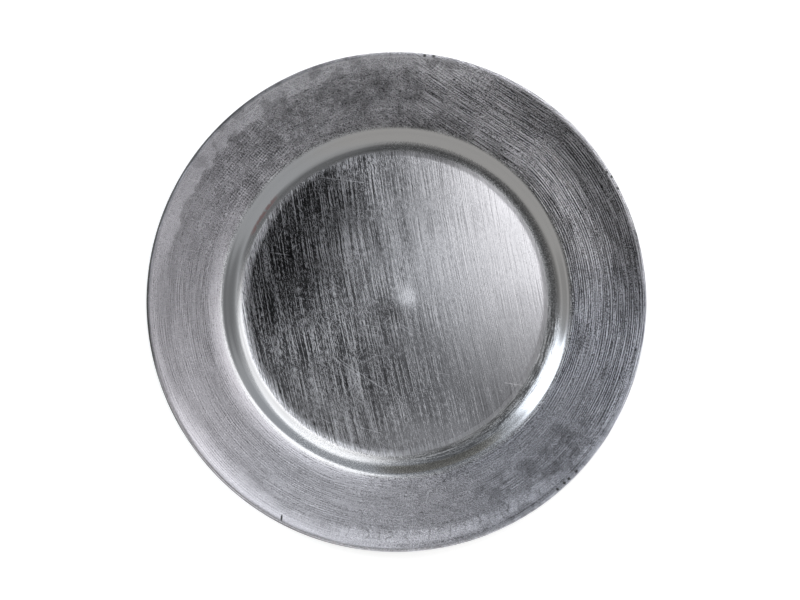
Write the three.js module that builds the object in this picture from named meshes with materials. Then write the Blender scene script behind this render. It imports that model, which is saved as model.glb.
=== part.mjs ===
// A charger plate: one round plastic moulding, faced on top with a skin of brushed silver leaf.
// Millimetres, +Z up. The origin is the centre of the circle that the foot ring stands on.

import * as THREE from "three";

// Driving dimensions, in millimetres, and slopes in degrees.

const PLATE_DIAMETER = 330; // over the leaf at the lip
const WALL = 2; // thickness of the moulding
const LEAF = 0.2; // leaf with the size under it and the lacquer over it

const FLOOR_RADIUS = 97.2; // where the domed floor of the well ends
const FLOOR_CROWN = 2; // rise of the floor from there to its centre
const FLOOR_BEND = 40; // large radius that turns the floor up to the ledge
const LEDGE_SLOPE = 1.5; // the ledge is a narrow, nearly level ring around the floor
const LEDGE_WIDTH = 0.7;
const WELL_FILLET = 17; // hollow radius from there to the shoulder
const SHOULDER_SLOPE = 42; // straight flank of the well, from level
const RIM_EDGE_RADIUS = 116.6; // where the rim begins
const RIM_EDGE_FILLET = 8; // round edge between the shoulder and the rim
const RIM_EDGE_SLOPE = 12; // left at the end of the round edge
const RIM_BEND = 65; // large radius that eases the edge into the rim
const RIM_INNER_SLOPE = 3; // the rim is slightly dished, so its slope grows outwards
const RIM_OUTER_SLOPE = 9.5;
const LIP_RADIUS = 2.2; // outer radius of the turned-down lip
const LIP_SKIRT = 2; // straight drop below the lip's round

const GATE_BUMP_RADIUS = 16; // shallow swelling over the injection gate
const GATE_BUMP_HEIGHT = 0.35;
const GATE_STUB_RADIUS = 2.5; // trimmed sprue under the centre
const GATE_STUB_HEIGHT = 0.6;

const FOOT_RADIUS = 89; // middle of the foot ring
const FOOT_HEIGHT = 1.8; // below the underside of the floor
const FOOT_LAND = 2.4; // width of the flat that it stands on
const FOOT_DRAFT = 0.6; // growth of each flank from the land to the root

// Facets: turns around the axis, and steps along each stretch of the section.

const ROUND = 60;
const GATE_STEPS = 3;
const FLOOR_STEPS = 4;
const FLOOR_BEND_STEPS = 2;
const WELL_FILLET_STEPS = 5;
const RIM_EDGE_STEPS = 3;
const RIM_BEND_STEPS = 3;
const RIM_STEPS = 3;
const LIP_CREST_STEPS = 1;
const LIP_DROP_STEPS = 3;
const EDGE_STEPS = 4;

// Colours of the two pieces.

const BLACK_PLASTIC = { color: 0x1c1c1e, roughness: 0.45, metalness: 0 };
const SILVER_LEAF = { color: 0xb4b4b8, roughness: 0.35, metalness: 1 };

// The section is drawn outwards from the axis along the face under the leaf.
// Each point keeps its radius, its height and its heading, the direction of the curve there.

const radians = THREE.MathUtils.degToRad;

// An arc that starts at a point, with its heading, and turns to another heading.
function arc(start, endHeading, radius, steps) {
  const turn = Math.sign(endHeading - start.heading);
  const points = [];
  for (let i = 1; i <= steps; i += 1) {
    const heading = THREE.MathUtils.lerp(start.heading, endHeading, i / steps);
    const r = start.r + turn * radius * (Math.sin(heading) - Math.sin(start.heading));
    const z = start.z - turn * radius * (Math.cos(heading) - Math.cos(start.heading));
    points.push({ r, z, heading });
  }
  return points;
}

// The end of a straight stretch that keeps the heading of its start.
function straight(start, length) {
  const r = start.r + length * Math.cos(start.heading);
  const z = start.z + length * Math.sin(start.heading);
  return { r, z, heading: start.heading };
}

// A section point moved along its normal: up from the face, or down into the wall.
function lifted(point, distance) {
  const r = point.r - distance * Math.sin(point.heading);
  const z = point.z + distance * Math.cos(point.heading);
  return new THREE.Vector2(r, z);
}

const last = (points) => points[points.length - 1];

// The floor is a cap of a large sphere, set so that the foot ring reaches down to height zero.

const domeRadius = FLOOR_RADIUS ** 2 / (2 * FLOOR_CROWN) + FLOOR_CROWN / 2;
const undersideRadius = domeRadius - WALL;
const domeCentre = FOOT_HEIGHT - Math.sqrt(undersideRadius ** 2 - FOOT_RADIUS ** 2);

const domePoint = (r) => ({
  r,
  z: domeCentre + Math.sqrt(domeRadius ** 2 - r ** 2),
  heading: -Math.asin(r / domeRadius),
});

const undersideHeight = (r) => domeCentre + Math.sqrt(undersideRadius ** 2 - r ** 2);

// A smooth swelling at the centre of the face, gone at its own radius.
function gateBump(r) {
  const share = Math.min(r / GATE_BUMP_RADIUS, 1);
  return (GATE_BUMP_HEIGHT * (1 + Math.cos(Math.PI * share))) / 2;
}

function floorStretch() {
  const points = [];
  for (let i = 0; i <= GATE_STEPS; i += 1) {
    points.push(domePoint((GATE_BUMP_RADIUS * i) / GATE_STEPS));
  }
  for (let i = 1; i <= FLOOR_STEPS; i += 1) {
    points.push(domePoint(THREE.MathUtils.lerp(GATE_BUMP_RADIUS, FLOOR_RADIUS, i / FLOOR_STEPS)));
  }
  return points;
}

// Soft bend, ledge, hollow fillet, straight flank and round edge, up to where the rim begins.
function shoulderStretch(start) {
  const slope = radians(SHOULDER_SLOPE);
  const edgeSlope = radians(RIM_EDGE_SLOPE);
  const bend = arc(start, radians(LEDGE_SLOPE), FLOOR_BEND, FLOOR_BEND_STEPS);
  const ledge = straight(last(bend), LEDGE_WIDTH);
  const fillet = arc(ledge, slope, WELL_FILLET, WELL_FILLET_STEPS);
  const edgeWidth = RIM_EDGE_FILLET * (Math.sin(slope) - Math.sin(edgeSlope));
  const flankWidth = RIM_EDGE_RADIUS - edgeWidth - last(fillet).r;
  const flank = straight(last(fillet), flankWidth / Math.cos(slope));
  const edge = arc(flank, edgeSlope, RIM_EDGE_FILLET, RIM_EDGE_STEPS);
  return [...bend, ledge, ...fillet, flank, ...edge];
}

// Soft bend and dished rim, then the lip over its crest and down, and its skirt.
function rimStretch(start) {
  const innerSlope = radians(RIM_INNER_SLOPE);
  const outerSlope = radians(RIM_OUTER_SLOPE);
  const bend = arc(start, innerSlope, RIM_BEND, RIM_BEND_STEPS);
  const lipStart = PLATE_DIAMETER / 2 - LEAF - LIP_RADIUS * (1 + Math.sin(outerSlope));
  const dishRadius = (lipStart - last(bend).r) / (Math.sin(outerSlope) - Math.sin(innerSlope));
  const dish = arc(last(bend), outerSlope, dishRadius, RIM_STEPS);
  const crest = arc(last(dish), 0, LIP_RADIUS, LIP_CREST_STEPS);
  const drop = arc(last(crest), -Math.PI / 2, LIP_RADIUS, LIP_DROP_STEPS);
  return { rim: [...bend, ...dish], lip: [...crest, ...drop], skirt: straight(last(drop), LIP_SKIRT) };
}

const floorPoints = floorStretch();
const shoulder = shoulderStretch(last(floorPoints));
const { rim, lip, skirt } = rimStretch(last(shoulder));
const leafed = [...floorPoints, ...shoulder, ...rim, ...lip];

// The face of the moulding, or the face of the leaf a little above it.
function face(points, height) {
  return points.map((point) => {
    const lift = lifted(point, height);
    return lift.setY(lift.y + gateBump(point.r));
  });
}

// Underside of the floor, from its edge inwards: foot ring, then the trimmed sprue at the centre.
function underside() {
  const landOuter = FOOT_RADIUS + FOOT_LAND / 2;
  const landInner = FOOT_RADIUS - FOOT_LAND / 2;
  const rootOuter = landOuter + FOOT_DRAFT;
  const rootInner = landInner - FOOT_DRAFT;
  const stubFoot = undersideHeight(GATE_STUB_RADIUS) - GATE_STUB_HEIGHT;
  const profile = [
    [rootOuter, undersideHeight(rootOuter)],
    [landOuter, 0],
    [landInner, 0],
    [rootInner, undersideHeight(rootInner)],
  ];
  for (let i = FLOOR_STEPS - 1; i > 0; i -= 1) {
    const r = (rootInner * i) / FLOOR_STEPS;
    profile.push([r, undersideHeight(r)]);
  }
  profile.push([GATE_STUB_RADIUS, undersideHeight(GATE_STUB_RADIUS)]);
  profile.push([GATE_STUB_RADIUS, stubFoot]);
  profile.push([0, stubFoot]);
  return profile.map(([r, z]) => new THREE.Vector2(r, z));
}

// A closed half section turned about the axis, with the axis stood up along +Z.
function revolved(name, profile, finish) {
  const geometry = new THREE.LatheGeometry(profile.reverse(), ROUND);
  geometry.rotateX(Math.PI / 2);
  const mesh = new THREE.Mesh(geometry, new THREE.MeshStandardMaterial(finish));
  mesh.name = name;
  return mesh;
}

// One shell of even wall: face, half-round edge of the skirt, back of the rim and well, underside.
function plateMoulding() {
  const edge = arc(skirt, -1.5 * Math.PI, WALL / 2, EDGE_STEPS).slice(0, -1);
  const back = [last(floorPoints), ...shoulder, ...rim, last(lip), skirt].reverse();
  const profile = [
    ...face([...leafed, skirt], 0),
    ...edge.map((point) => lifted(point, 0)),
    ...back.map((point) => lifted(point, -WALL)),
    ...underside(),
  ];
  return revolved("plate_moulding", profile, BLACK_PLASTIC);
}

// A skin that lies on the face of the moulding, from the centre to the widest line of the lip.
function silverLeaf() {
  const profile = [...face(leafed, LEAF), ...face(leafed, 0).reverse()];
  return revolved("silver_leaf", profile, SILVER_LEAF);
}

const plate = new THREE.Group();
plate.add(plateMoulding(), silverLeaf());

export default plate;
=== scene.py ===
"""A charger plate of black plastic faced with brushed silver leaf, dressed over its CAD frame.

Metres, +Z up. The plate stands on the floor at height zero, with its axis on Z.
Seen from the camera, +X points right and +Y points up.
"""

import math
from collections import namedtuple

import bpy
import numpy as np
from mathutils import Matrix, Vector, noise


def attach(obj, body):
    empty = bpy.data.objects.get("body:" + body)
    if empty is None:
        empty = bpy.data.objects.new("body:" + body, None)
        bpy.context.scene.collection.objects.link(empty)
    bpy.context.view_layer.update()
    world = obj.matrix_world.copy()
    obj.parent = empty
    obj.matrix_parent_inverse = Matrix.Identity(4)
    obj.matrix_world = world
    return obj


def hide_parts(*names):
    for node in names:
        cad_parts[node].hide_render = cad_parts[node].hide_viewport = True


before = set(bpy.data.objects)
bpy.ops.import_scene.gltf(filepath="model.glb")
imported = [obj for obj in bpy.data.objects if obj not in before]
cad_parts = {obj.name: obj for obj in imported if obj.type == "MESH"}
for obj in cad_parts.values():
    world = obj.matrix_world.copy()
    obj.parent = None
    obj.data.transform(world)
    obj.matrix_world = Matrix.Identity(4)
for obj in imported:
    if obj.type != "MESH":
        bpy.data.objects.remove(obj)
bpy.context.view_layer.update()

MM = 0.001

# Sizes of the plate, the same as in the CAD source.

PLATE_DIAMETER = 330 * MM
WALL = 2 * MM
LEAF = 0.2 * MM
FLOOR_RADIUS = 97.2 * MM
FLOOR_CROWN = 2 * MM
FLOOR_BEND = 40 * MM
LEDGE_SLOPE = math.radians(1.5)
LEDGE_WIDTH = 0.7 * MM
WELL_FILLET = 17 * MM
SHOULDER_SLOPE = math.radians(42)
RIM_EDGE_RADIUS = 116.6 * MM
RIM_EDGE_FILLET = 8 * MM
RIM_EDGE_SLOPE = math.radians(12)
RIM_BEND = 65 * MM
RIM_INNER_SLOPE = math.radians(3)
RIM_OUTER_SLOPE = math.radians(9.5)
LIP_RADIUS = 2.2 * MM
LIP_SKIRT = 2 * MM
GATE_BUMP_RADIUS = 16 * MM
GATE_BUMP_HEIGHT = 0.35 * MM
GATE_STUB_RADIUS = 2.5 * MM
GATE_STUB_HEIGHT = 0.6 * MM
FOOT_RADIUS = 89 * MM
FOOT_HEIGHT = 1.8 * MM
FOOT_LAND = 2.4 * MM
FOOT_DRAFT = 0.6 * MM

# Steps of the fine meshes: around the axis, and along each stretch of the section.

TURNS = 360
GATE_STEPS = 10
FLOOR_STEPS = 34
FLOOR_BEND_STEPS = 6
LEDGE_STEPS = 2
WELL_FILLET_STEPS = 22
FLANK_STEPS = 3
RIM_EDGE_STEPS = 14
RIM_BEND_STEPS = 8
RIM_STEPS = 22
LIP_CREST_STEPS = 3
LIP_DROP_STEPS = 14
SKIRT_STEPS = 2
EDGE_STEPS = 10
UNDERSIDE_STEPS = 18

SHARP_ANGLE = math.radians(35)

# The hand-laid leaf lies a little below its full height, by a least depth and two sizes of ripple.

SINK_LEAST = 0.03 * MM
WAVE_DEPTH = 0.05 * MM
WAVE_SCALE = 45
RIPPLE_DEPTH = 0.012 * MM
RIPPLE_SCALE = 140

# The section, drawn outwards from the axis along the face under the leaf.
# Each point keeps its radius, its height and its heading, the direction of the curve there.

SectionPoint = namedtuple("SectionPoint", "r z heading")


def arc(start, end_heading, radius, steps):
    """An arc that starts at a point, with its heading, and turns to another heading."""
    turn = math.copysign(1, end_heading - start.heading)
    points = []
    for i in range(1, steps + 1):
        heading = start.heading + (end_heading - start.heading) * i / steps
        r = start.r + turn * radius * (math.sin(heading) - math.sin(start.heading))
        z = start.z - turn * radius * (math.cos(heading) - math.cos(start.heading))
        points.append(SectionPoint(r, z, heading))
    return points


def straight(start, length, steps):
    """A straight stretch that keeps the heading of its start."""
    points = []
    for i in range(1, steps + 1):
        run = length * i / steps
        r = start.r + run * math.cos(start.heading)
        z = start.z + run * math.sin(start.heading)
        points.append(SectionPoint(r, z, start.heading))
    return points


DOME_RADIUS = FLOOR_RADIUS**2 / (2 * FLOOR_CROWN) + FLOOR_CROWN / 2
UNDERSIDE_RADIUS = DOME_RADIUS - WALL
DOME_CENTRE = FOOT_HEIGHT - math.sqrt(UNDERSIDE_RADIUS**2 - FOOT_RADIUS**2)


def dome_point(r):
    z = DOME_CENTRE + math.sqrt(DOME_RADIUS**2 - r**2)
    return SectionPoint(r, z, -math.asin(r / DOME_RADIUS))


def underside_height(r):
    return DOME_CENTRE + math.sqrt(UNDERSIDE_RADIUS**2 - r**2)


def gate_bump(r):
    """Height of the smooth swelling over the injection gate, gone at its own radius."""
    share = min(r / GATE_BUMP_RADIUS, 1)
    return GATE_BUMP_HEIGHT * (1 + math.cos(math.pi * share)) / 2


def floor_stretch():
    points = [dome_point(GATE_BUMP_RADIUS * i / GATE_STEPS) for i in range(GATE_STEPS + 1)]
    span = FLOOR_RADIUS - GATE_BUMP_RADIUS
    for i in range(1, FLOOR_STEPS + 1):
        points.append(dome_point(GATE_BUMP_RADIUS + span * i / FLOOR_STEPS))
    return points


def shoulder_stretch(start):
    """Soft bend, narrow ledge, hollow fillet, straight flank and round edge, up to the rim."""
    bend = arc(start, LEDGE_SLOPE, FLOOR_BEND, FLOOR_BEND_STEPS)
    ledge = straight(bend[-1], LEDGE_WIDTH, LEDGE_STEPS)
    fillet = arc(ledge[-1], SHOULDER_SLOPE, WELL_FILLET, WELL_FILLET_STEPS)
    edge_width = RIM_EDGE_FILLET * (math.sin(SHOULDER_SLOPE) - math.sin(RIM_EDGE_SLOPE))
    flank_width = RIM_EDGE_RADIUS - edge_width - fillet[-1].r
    flank = straight(fillet[-1], flank_width / math.cos(SHOULDER_SLOPE), FLANK_STEPS)
    edge = arc(flank[-1], RIM_EDGE_SLOPE, RIM_EDGE_FILLET, RIM_EDGE_STEPS)
    return bend + ledge + fillet + flank + edge


def rim_stretch(start):
    """Soft bend and dished rim, then the lip over its crest and down to its widest line."""
    bend = arc(start, RIM_INNER_SLOPE, RIM_BEND, RIM_BEND_STEPS)
    lip_start = PLATE_DIAMETER / 2 - LEAF - LIP_RADIUS * (1 + math.sin(RIM_OUTER_SLOPE))
    dish_radius = (lip_start - bend[-1].r) / (math.sin(RIM_OUTER_SLOPE) - math.sin(RIM_INNER_SLOPE))
    dish = arc(bend[-1], RIM_OUTER_SLOPE, dish_radius, RIM_STEPS)
    crest = arc(dish[-1], 0, LIP_RADIUS, LIP_CREST_STEPS)
    return bend + dish + crest + arc(crest[-1], -math.pi / 2, LIP_RADIUS, LIP_DROP_STEPS)


floor_points = floor_stretch()
shoulder_points = shoulder_stretch(floor_points[-1])
leafed = floor_points + shoulder_points + rim_stretch(shoulder_points[-1])
skirt = straight(leafed[-1], LIP_SKIRT, SKIRT_STEPS)


def underside():
    """Underside of the floor, from its edge inwards: foot ring, then the trimmed sprue."""
    land_outer = FOOT_RADIUS + FOOT_LAND / 2
    land_inner = FOOT_RADIUS - FOOT_LAND / 2
    root_outer = land_outer + FOOT_DRAFT
    root_inner = land_inner - FOOT_DRAFT
    stub_foot = underside_height(GATE_STUB_RADIUS) - GATE_STUB_HEIGHT
    points = [(root_outer, underside_height(root_outer)), (land_outer, 0), (land_inner, 0)]
    for i in range(UNDERSIDE_STEPS, 0, -1):
        r = GATE_STUB_RADIUS + (root_inner - GATE_STUB_RADIUS) * i / UNDERSIDE_STEPS
        points.append((r, underside_height(r)))
    points.append((GATE_STUB_RADIUS, underside_height(GATE_STUB_RADIUS)))
    points.append((GATE_STUB_RADIUS, stub_foot))
    points.append((0, stub_foot))
    return points


# Meshes of revolution. Each ring is an array of TURNS points, and the two end rings lie on the axis.

AZIMUTH = np.arange(TURNS) * 2 * math.pi / TURNS


def ring(r, z):
    """Points around the axis at a radius and a height, which may change with the azimuth."""
    x = r * np.cos(AZIMUTH)
    y = r * np.sin(AZIMUTH)
    return np.stack([x, y, z + np.zeros(TURNS)], axis=1)


def face_ring(point, lift):
    """A ring on the face, raised along its normal by a distance that may change with the azimuth."""
    r = point.r - lift * math.sin(point.heading)
    z = point.z + gate_bump(point.r) + lift * math.cos(point.heading)
    return ring(r, z)


def revolved(name, rings):
    """A closed mesh through rings that run from one point of the axis to another."""
    first_pole = rings[0].mean(axis=0)
    last_pole = rings[-1].mean(axis=0)
    inner = rings[1:-1]
    verts = np.concatenate([[first_pole], *inner, [last_pole]])
    turn = np.arange(TURNS)
    after = (turn + 1) % TURNS
    faces = [(0, 1 + a, 1 + b) for a, b in zip(turn, after)]
    for i in range(len(inner) - 1):
        low = 1 + i * TURNS
        high = low + TURNS
        faces += [(low + a, high + a, high + b, low + b) for a, b in zip(turn, after)]
    end = len(verts) - 1
    low = end - TURNS
    faces += [(low + a, end, low + b) for a, b in zip(turn, after)]
    mesh = bpy.data.meshes.new(name)
    mesh.from_pydata(verts.tolist(), [], faces)
    mesh.polygons.foreach_set("use_smooth", [True] * len(mesh.polygons))
    mesh.set_sharp_from_angle(angle=SHARP_ANGLE)
    mesh.validate()
    piece = bpy.data.objects.new(name, mesh)
    bpy.context.scene.collection.objects.link(piece)
    return piece


def sink(point):
    """How far the leaf lies below its full height, all round one ring of the section."""
    depth = np.zeros(TURNS)
    for i, azimuth in enumerate(AZIMUTH):
        place = Vector((point.r * math.cos(azimuth), point.r * math.sin(azimuth), point.z))
        wave = 0.5 + 0.5 * noise.noise(place * WAVE_SCALE)
        ripple = 0.5 + 0.5 * noise.noise(place * RIPPLE_SCALE)
        depth[i] = SINK_LEAST + WAVE_DEPTH * wave + RIPPLE_DEPTH * ripple
    return depth


def plate_moulding():
    """Face, half-round edge of the skirt, back of the rim and the shoulder, and underside."""
    face = [face_ring(point, 0) for point in leafed + skirt]
    edge = [ring(point.r, point.z) for point in arc(skirt[-1], -1.5 * math.pi, WALL / 2, EDGE_STEPS)]
    past_floor = leafed[len(floor_points) - 1 :] + skirt
    back = [face_ring(point, -WALL) for point in reversed(past_floor)]
    under = [ring(r, z) for r, z in underside()]
    return revolved("moulding", face + edge[:-1] + back + under)


def silver_leaf():
    top = [face_ring(point, LEAF - sink(point)) for point in leafed]
    bottom = [face_ring(point, 0) for point in reversed(leafed)]
    return revolved("leaf", top + bottom)


# Shader nodes. A mix node has its two inputs and its output at other places for each kind of value.

MIX_SOCKETS = {"FLOAT": (2, 3, 0), "VECTOR": (4, 5, 1), "RGBA": (6, 7, 2)}


class Graph:
    """Adds nodes to one shader tree. A value may be a number, a tuple or another node's output."""

    def __init__(self, tree):
        self.tree = tree
        tree.nodes.clear()

    def put(self, socket, value):
        if isinstance(value, bpy.types.NodeSocket):
            self.tree.links.new(value, socket)
        else:
            socket.default_value = value

    def node(self, kind, settings=None, **inputs):
        made = self.tree.nodes.new(kind)
        for name, value in (settings or {}).items():
            setattr(made, name, value)
        for name, value in inputs.items():
            self.put(made.inputs[name.replace("_", " ")], value)
        return made

    def math(self, operation, *values):
        made = self.node("ShaderNodeMath", {"operation": operation})
        for socket, value in zip(made.inputs, values):
            self.put(socket, value)
        return made.outputs[0]

    def add(self, *values):
        total = values[0]
        for value in values[1:]:
            total = self.math("ADD", total, value)
        return total

    def times(self, *values):
        total = values[0]
        for value in values[1:]:
            total = self.math("MULTIPLY", total, value)
        return total

    def vector(self, operation, *values):
        made = self.node("ShaderNodeVectorMath", {"operation": operation})
        for socket, value in zip(made.inputs, values):
            self.put(socket, value)
        return made.outputs[0]

    def scaled(self, vector, factor):
        made = self.node("ShaderNodeVectorMath", {"operation": "SCALE"}, Vector=vector, Scale=factor)
        return made.outputs[0]

    def dot(self, vector, direction):
        made = self.node("ShaderNodeVectorMath", {"operation": "DOT_PRODUCT"})
        self.put(made.inputs[0], vector)
        self.put(made.inputs[1], direction)
        return made.outputs["Value"]

    def length(self, vector):
        made = self.node("ShaderNodeVectorMath", {"operation": "LENGTH"}, Vector=vector)
        return made.outputs["Value"]

    def join(self, x, y, z):
        return self.node("ShaderNodeCombineXYZ", None, X=x, Y=y, Z=z).outputs[0]

    def noise(self, vector, scale=1.0, detail=2.0, roughness=0.5):
        made = self.node(
            "ShaderNodeTexNoise",
            None,
            Vector=vector,
            Scale=scale,
            Detail=detail,
            Roughness=roughness,
        )
        return made.outputs[0]

    def ease(self, value, low, high, start=0.0, end=1.0):
        """A smooth step from start to end as the value goes from low to high."""
        made = self.node(
            "ShaderNodeMapRange",
            {"interpolation_type": "SMOOTHSTEP"},
            Value=value,
            From_Min=low,
            From_Max=high,
            To_Min=start,
            To_Max=end,
        )
        return made.outputs[0]

    def blend(self, kind, factor, a, b):
        first, second, result = MIX_SOCKETS[kind]
        made = self.node("ShaderNodeMix", {"data_type": kind}, Factor=factor)
        self.put(made.inputs[first], a)
        self.put(made.inputs[second], b)
        return made.outputs[result]

    def mix(self, factor, a, b):
        return self.blend("FLOAT", factor, a, b)

    def mix_vector(self, factor, a, b):
        return self.blend("VECTOR", factor, a, b)

    def mix_colour(self, factor, a, b):
        return self.blend("RGBA", factor, a, b)


def new_material(name):
    material = bpy.data.materials.new(name)
    material.use_nodes = True
    return material, Graph(material.node_tree)


def finish_surface(g, shader):
    output = g.node("ShaderNodeOutputMaterial")
    g.put(output.inputs["Surface"], shader)


def turned(degrees):
    """Unit vector at an angle from +X, counted towards +Y."""
    return (math.cos(math.radians(degrees)), math.sin(math.radians(degrees)), 0)


def either(g, *masks):
    """The largest of several masks."""
    most = masks[0]
    for mask in masks[1:]:
        most = g.math("MAXIMUM", most, mask)
    return most


def without(g, mask, share=1.0):
    """What is left of one when a share of a mask is taken off."""
    return g.math("SUBTRACT", 1.0, g.times(mask, share))


def centred(g, value):
    """Noise that runs from zero to one, shifted to lie about zero."""
    return g.add(value, -0.5)


def weighted(g, weights, fields):
    """Sum of named fields, each times its weight."""
    return g.add(*[g.times(fields[name], weight) for name, weight in weights.items()])


# Kinds of marks. They lie on the plan, in millimetres from the centre and degrees from +X towards +Y.
# A fade is a pair of values: a mark is gone at the first and full at the second.
# Four values are a smooth step: the low and high end of what it follows, then where it starts and ends.
# A spot is full within one distance of its centre and gone at another; a sector does so by angle.
# A band is the part of a sector between two radii, and a ramp is a step across the plan.

NoiseKind = namedtuple("NoiseKind", "scale detail roughness")
Strokes = namedtuple("Strokes", "width length seed detail")
Spot = namedtuple("Spot", "centre full gone share")
Sector = namedtuple("Sector", "azimuth full gone share", defaults=[1.0])
Band = namedtuple("Band", "fade_in fade_out sector")
Ramp = namedtuple("Ramp", "azimuth low high start end")

STROKE_ROUGHNESS = 0.6
RIM_MIDDLE = 140  # radius at which strokes around the rim have their true length
HAIRLINE_CORE = 1 / 3  # share of its width within which a scratch is full
HAIRLINE_TAPER = 2  # length over which each end of it fades

# What every part of the leaf's finish is drawn from: places, and shared noise about zero.

Face = namedtuple("Face", "place flat radius outward wander cloud patina grit")

WANDER = NoiseKind(0.05, 2, 0.5)
CLOUD = NoiseKind(0.13, 3, 0.6)
PATINA = NoiseKind(0.045, 4, 0.65)
GRIT = NoiseKind(2.2, 0, 0.5)


def plan(g):
    """Place on a piece in millimetres, and the same place laid flat."""
    place = g.scaled(g.node("ShaderNodeTexCoord").outputs["Object"], 1 / MM)
    return place, g.vector("MULTIPLY", place, (1, 1, 0))


def face_fields(g):
    place, flat = plan(g)
    return Face(
        place=place,
        flat=flat,
        radius=g.length(flat),
        outward=g.vector("NORMALIZE", flat),
        wander=centred(g, g.noise(place, *WANDER)),
        cloud=centred(g, g.noise(place, *CLOUD)),
        patina=centred(g, g.noise(place, *PATINA)),
        grit=centred(g, g.noise(place, *GRIT)),
    )


def strokes(g, across, along, kind):
    """Long thin grain, with marks of about the width and length of its kind."""
    place = g.join(g.times(across, 1 / kind.width), g.times(along, 1 / kind.length), kind.seed)
    return g.noise(place, detail=kind.detail, roughness=STROKE_ROUGHNESS)


def straight_strokes(g, place, angle, kind):
    """Strokes that run straight, at an angle from +X."""
    across = g.dot(place, turned(angle - 90))
    along = g.dot(place, turned(angle))
    return strokes(g, across, along, kind)


def ring_strokes(g, face, kind):
    """Strokes that follow the rim around the axis, with their true length at its middle."""
    around = g.scaled(face.outward, RIM_MIDDLE / kind.length)
    x = g.dot(around, (1, 0, 0))
    y = g.dot(around, (0, 1, 0))
    place = g.join(g.add(g.times(face.radius, 1 / kind.width), kind.seed), x, y)
    return g.noise(place, detail=kind.detail, roughness=STROKE_ROUGHNESS)


def grooves(g, across, drift, spacing):
    """Close lines from -0.5 to 0.5, whose spacing in millimetres varies with a slow drift."""
    turns = g.add(g.times(across, 1 / spacing), drift)
    return g.times(g.math("SINE", g.times(turns, 2 * math.pi)), 0.5)


def spot(g, face, kind):
    away = g.length(g.vector("SUBTRACT", face.flat, (*kind.centre, 0)))
    return g.ease(away, kind.gone, kind.full, 0.0, kind.share)


def spots(g, face, kinds):
    return [spot(g, face, kind) for kind in kinds.values()]


def sector(g, face, kind):
    facing = g.dot(face.outward, turned(kind.azimuth))
    gone = math.cos(math.radians(kind.gone))
    full = math.cos(math.radians(kind.full))
    return g.ease(facing, gone, full, 0.0, kind.share)


def band(g, face, radius, kind):
    """A band by the true radius, or by another one that makes its edges ragged."""
    mask = sector(g, face, kind.sector)
    for fade in (kind.fade_in, kind.fade_out):
        if fade:
            mask = g.times(mask, g.ease(radius, *fade))
    return mask


def bands(g, face, kinds):
    return [band(g, face, face.radius, kind) for kind in kinds.values()]


def ramp(g, face, kind):
    along = g.dot(face.flat, turned(kind.azimuth))
    return g.ease(along, kind.low, kind.high, kind.start, kind.end)


def hairline(g, face, line, width):
    """A single scratch between two points of the plan."""
    start = Vector((*line[0], 0))
    run = Vector((*line[1], 0)) - start
    along = run.normalized()
    half = run.length / 2
    offset = g.vector("SUBTRACT", face.flat, tuple(start))
    aside = g.math("ABSOLUTE", g.dot(offset, (-along.y, along.x, 0)))
    from_middle = g.math("ABSOLUTE", g.add(g.dot(offset, tuple(along)), -half))
    across = g.ease(aside, width, width * HAIRLINE_CORE)
    return g.times(across, g.ease(from_middle, half, half - HAIRLINE_TAPER))


# Brush strokes on the floor run nearly up the picture, in slight arcs, and are deepest on the left.
# Heights are in millimetres, here and on the rim.

FLOOR_STROKES = 101
FLOOR_STROKE_BEND = -0.0003
FLOOR_STROKE_SWAY = 1.5
FLOOR_SHORT_STROKES = 110
FLOOR_FINE = Strokes(0.58, 30, 1.0, 0.0)
FLOOR_MIDDLE = Strokes(2.0, 70, 5.0, 1.5)
FLOOR_WIDE = Strokes(9, 120, 9.0, 1.5)
FLOOR_SHORT = Strokes(0.45, 3.5, 3.0, 0.0)
FLOOR_MARKS = {"fine": 1.15, "middle": 0.42, "wide": 0.42, "short": 0.95, "grit": 0.8}
FLOOR_HEIGHT = {"fine": 0.02, "middle": 0.02, "grit": 0.01}
FLOOR_DEPTH = Ramp(175, -70, 60, 0.45, 1.7)


def floor_grain(g, face):
    """Strokes of the floor about zero, and their height."""
    along = g.dot(face.place, turned(FLOOR_STROKES))
    bend = g.times(along, along, FLOOR_STROKE_BEND)
    sway = g.times(face.wander, FLOOR_STROKE_SWAY)
    across = g.add(g.dot(face.place, turned(FLOOR_STROKES - 90)), bend, sway)
    fields = {
        "fine": centred(g, strokes(g, across, along, FLOOR_FINE)),
        "middle": centred(g, strokes(g, across, along, FLOOR_MIDDLE)),
        "wide": centred(g, strokes(g, across, along, FLOOR_WIDE)),
        "short": centred(g, straight_strokes(g, face.place, FLOOR_SHORT_STROKES, FLOOR_SHORT)),
        "grit": face.grit,
    }
    marks = g.times(weighted(g, FLOOR_MARKS, fields), ramp(g, face, FLOOR_DEPTH))
    return marks, weighted(g, FLOOR_HEIGHT, fields)


# On the rim the strokes follow the edge, closest together where the hand swept along it.
# They slant at the upper right, cross at the upper left and are loose elsewhere.

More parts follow.
